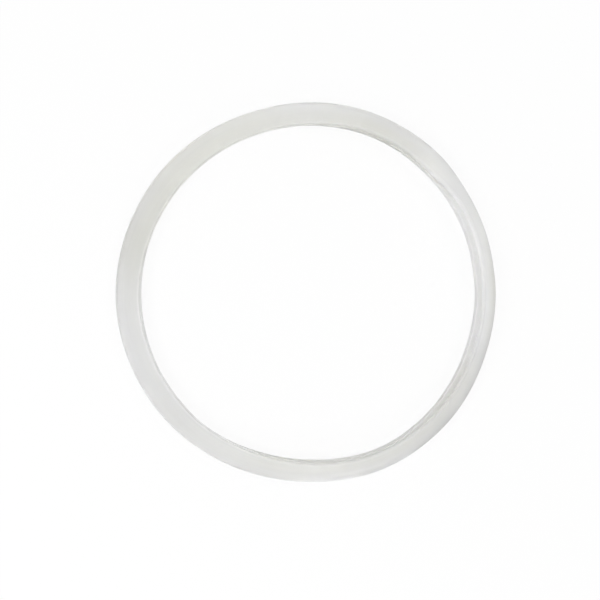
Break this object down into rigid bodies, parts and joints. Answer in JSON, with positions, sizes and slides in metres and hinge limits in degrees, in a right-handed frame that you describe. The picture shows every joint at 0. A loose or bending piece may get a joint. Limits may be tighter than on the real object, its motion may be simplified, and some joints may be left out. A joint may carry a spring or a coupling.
{
  "type": "pressure cooker sealing ring",
  "caption": "Clear silicone sealing ring for a pressure cooker's lid: a channel section that opens inward, whose two lips steam presses against lid and pot.",
  "frame": {"origin": "centre of the ring in the plane of its underside, which rests on a flat surface", "axes": "+Z along the ring's axis, upward from the surface it lies on; X and Y lie in the plane of the ring, and the twisted stretch is centred 20 degrees clockwise of +X, seen from above"},
  "size_m": [0.2268, 0.2272, 0.0142],
  "materials": {
    "clear_silicone": "translucent milky silicone, smooth and slightly satin"
  },
  "bodies": {
    "root": {"sealing_ring": "clear_silicone"}
  },
  "joints": []
}
